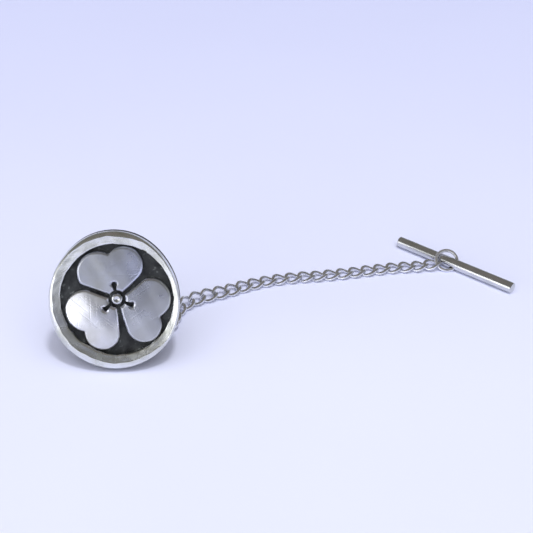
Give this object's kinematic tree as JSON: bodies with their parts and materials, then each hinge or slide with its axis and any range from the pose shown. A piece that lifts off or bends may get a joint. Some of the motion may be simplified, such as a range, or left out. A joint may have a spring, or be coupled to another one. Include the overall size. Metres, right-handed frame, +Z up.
{
  "type": "tie tack",
  "caption": "Round overlay-work tie tack head with a nail post, a ball-lock clutch, a fine curb chain and a toggle bar.",
  "frame": {"origin": "middle of the object's box on the table it lies on", "axes": "+Z up from the table, +X from the head towards the toggle bar, +Y from the head's face towards its back"},
  "size_m": [0.0519, 0.0259, 0.0142],
  "materials": {
    "oxidised_silver": "blackened, matte",
    "satin_silver": "satin, lightly scratched",
    "chain_silver": "polished, a little tarnished",
    "white_metal": "plated",
    "brass_cage": "plain"
  },
  "bodies": {
    "head": {"back_plate": "oxidised_silver", "rim": "satin_silver", "petal_1": "satin_silver", "petal_2": "satin_silver", "petal_3": "satin_silver", "centre_boss": "satin_silver", "post_pad": "satin_silver", "post": "satin_silver"},
    "clutch": {"clutch_base": "white_metal", "spring_retainer": "white_metal"},
    "release": {"clutch_cap": "white_metal", "ball_cage": "brass_cage", "lock_balls": "white_metal", "release_spring": "white_metal"},
    "tab": {"swivel_tab": "white_metal"},
    "tab_ring": {"tab_ring": "chain_silver"},
    "link_01": {"link_01": "chain_silver"},
    "link_02": {"link_02": "chain_silver"},
    "link_03": {"link_03": "chain_silver"},
    "link_04": {"link_04": "chain_silver"},
    "link_05": {"link_05": "chain_silver"},
    "link_06": {"link_06": "chain_silver"},
    "link_07": {"link_07": "chain_silver"},
    "link_08": {"link_08": "chain_silver"},
    "link_09": {"link_09": "chain_silver"},
    "link_10": {"link_10": "chain_silver"},
    "link_11": {"link_11": "chain_silver"},
    "link_12": {"link_12": "chain_silver"},
    "link_13": {"link_13": "chain_silver"},
    "link_14": {"link_14": "chain_silver"},
    "link_15": {"link_15": "chain_silver"},
    "link_16": {"link_16": "chain_silver"},
    "link_17": {"link_17": "chain_silver"},
    "link_18": {"link_18": "chain_silver"},
    "link_19": {"link_19": "chain_silver"},
    "link_20": {"link_20": "chain_silver"},
    "link_21": {"link_21": "chain_silver"},
    "link_22": {"link_22": "chain_silver"},
    "link_23": {"link_23": "chain_silver"},
    "link_24": {"link_24": "chain_silver"},
    "toggle_ring": {"toggle_ring": "satin_silver"},
    "toggle_bar": {"toggle_bar": "satin_silver"}
  },
  "joints": [
    {"name": "clutch_off", "type": "slide", "parent": "head", "child": "clutch", "axis": [0, 0.9206, -0.3906], "range_m": [0, 0.012]},
    {"name": "cap_pull", "type": "slide", "parent": "clutch", "child": "release", "axis": [0, 0.9206, -0.3906], "range_m": [0, 0.0006], "stiffness_N_per_m": 400, "springref_m": -0.0005, "deforming": ["release_spring"]},
    {"name": "tab_swivel", "type": "hinge", "parent": "clutch", "child": "tab", "pos_m": [-0.01902, -0.00491, 0.00523], "axis": [0, -0.9206, 0.3906], "continuous": true},
    {"name": "tab_ring_swing", "type": "hinge", "parent": "tab", "child": "tab_ring", "pos_m": [-0.01427, -0.00647, 0.00155], "axis": [-0.3904, -0.3596, -0.8475], "range_deg": [-24, 30]},
    {"name": "link_01_swing", "type": "hinge", "parent": "tab_ring", "child": "link_01", "pos_m": [-0.01379, -0.00605, 0.00123], "axis": [0.2707, -0.0205, 0.9625], "range_deg": [-20, 20]},
    {"name": "link_02_swing", "type": "hinge", "parent": "link_01", "child": "link_02", "pos_m": [-0.01307, -0.00427, 0.00107], "axis": [-0.8882, 0.3803, 0.2579], "range_deg": [-20, 20]},
    {"name": "link_03_swing", "type": "hinge", "parent": "link_02", "child": "link_03", "pos_m": [-0.01308, -0.00316, 0.00093], "axis": [0.0586, 0.0085, 0.9982], "range_deg": [-20, 20]},
    {"name": "link_04_swing", "type": "hinge", "parent": "link_03", "child": "link_04", "pos_m": [-0.01243, -0.00134, 0.00088], "axis": [0.9396, -0.3383, -0.0523], "range_deg": [-20, 20]},
    {"name": "link_05_swing", "type": "hinge", "parent": "link_04", "child": "link_05", "pos_m": [-0.01165, -0.00055, 0.00085], "axis": [0.0553, -0.1504, -0.9871], "range_deg": [-20, 20]},
    {"name": "link_06_swing", "type": "hinge", "parent": "link_05", "child": "link_06", "pos_m": [-0.01002, 0.00049, 0.00078], "axis": [-0.5374, 0.8287, -0.1563], "range_deg": [-20, 20]},
    {"name": "link_07_swing", "type": "hinge", "parent": "link_06", "child": "link_07", "pos_m": [-0.00902, 0.00096, 0.00073], "axis": [-0.1082, 0.345, 0.9324], "range_deg": [-20, 20]},
    {"name": "link_08_swing", "type": "hinge", "parent": "link_07", "child": "link_08", "pos_m": [-0.00727, 0.00177, 0.00063], "axis": [0.4114, -0.8382, 0.3579], "range_deg": [-20, 20]},
    {"name": "link_09_swing", "type": "hinge", "parent": "link_08", "child": "link_09", "pos_m": [-0.00635, 0.00239, 0.00058], "axis": [0.2227, -0.498, -0.8381], "range_deg": [-30, 30]},
    {"name": "link_10_swing", "type": "hinge", "parent": "link_09", "child": "link_10", "pos_m": [-0.00464, 0.00327, 0.00051], "axis": [-0.4035, 0.7355, -0.5443], "range_deg": [-30, 30]},
    {"name": "link_11_swing", "type": "hinge", "parent": "link_10", "child": "link_11", "pos_m": [-0.00362, 0.00372, 0.00047], "axis": [-0.2054, 0.6586, 0.7239], "range_deg": [-30, 30]},
    {"name": "link_12_swing", "type": "hinge", "parent": "link_11", "child": "link_12", "pos_m": [-0.00179, 0.00432, 0.00045], "axis": [0.2324, -0.6857, 0.6898], "range_deg": [-30, 30]},
    {"name": "link_13_swing", "type": "hinge", "parent": "link_12", "child": "link_13", "pos_m": [-0.0007, 0.00455, 0.00046], "axis": [0.1251, -0.7021, -0.7011], "range_deg": [-30, 30]},
    {"name": "link_14_swing", "type": "hinge", "parent": "link_13", "child": "link_14", "pos_m": [0.0012, 0.00489, 0.00046], "axis": [-0.1211, 0.6905, -0.7131], "range_deg": [-30, 30]},
    {"name": "link_15_swing", "type": "hinge", "parent": "link_14", "child": "link_15", "pos_m": [0.0023, 0.00501, 0.00046], "axis": [-0.1094, 0.7165, 0.689], "range_deg": [-30, 30]},
    {"name": "link_16_swing", "type": "hinge", "parent": "link_15", "child": "link_16", "pos_m": [0.00421, 0.0053, 0.00046], "axis": [0.104, -0.6811, 0.7248], "range_deg": [-30, 30]},
    {"name": "link_17_swing", "type": "hinge", "parent": "link_16", "child": "link_17", "pos_m": [0.0053, 0.0055, 0.00046], "axis": [0.1459, -0.6883, -0.7106], "range_deg": [-30, 30]},
    {"name": "link_18_swing", "type": "hinge", "parent": "link_17", "child": "link_18", "pos_m": [0.00719, 0.0059, 0.00046], "axis": [-0.1474, 0.6952, -0.7036], "range_deg": [-30, 30]},
    {"name": "link_19_swing", "type": "hinge", "parent": "link_18", "child": "link_19", "pos_m": [0.00827, 0.00615, 0.00046], "axis": [-0.1492, 0.6721, 0.7252], "range_deg": [-30, 30]},
    {"name": "link_20_swing", "type": "hinge", "parent": "link_19", "child": "link_20", "pos_m": [0.01015, 0.00658, 0.00046], "axis": [0.1583, -0.7077, 0.6885], "range_deg": [-30, 30]},
    {"name": "link_21_swing", "type": "hinge", "parent": "link_20", "child": "link_21", "pos_m": [0.01123, 0.00681, 0.00046], "axis": [0.101, -0.7008, -0.7061], "range_deg": [-30, 30]},
    {"name": "link_22_swing", "type": "hinge", "parent": "link_21", "child": "link_22", "pos_m": [0.01315, 0.00708, 0.00046], "axis": [-0.0953, 0.6997, -0.7081], "range_deg": [-30, 30]},
    {"name": "link_23_swing", "type": "hinge", "parent": "link_22", "child": "link_23", "pos_m": [0.01425, 0.00716, 0.00047], "axis": [-0.1351, 0.714, 0.687], "range_deg": [-30, 30]},
    {"name": "link_24_swing", "type": "hinge", "parent": "link_23", "child": "link_24", "pos_m": [0.01616, 0.00741, 0.00059], "axis": [0.0414, -0.6886, 0.7239], "range_deg": [-30, 30]},
    {"name": "toggle_ring_swing", "type": "hinge", "parent": "link_24", "child": "toggle_ring", "pos_m": [0.01766, 0.00763, 0.00075], "axis": [-0.0387, 0.7228, -0.6899], "range_deg": [-24, 30]},
    {"name": "bar_swing", "type": "hinge", "parent": "toggle_ring", "child": "toggle_bar", "pos_m": [0.01938, 0.00754, 0.00064], "axis": [0.4748, 0.6012, 0.6428], "range_deg": [-60, 0]}
  ]
}
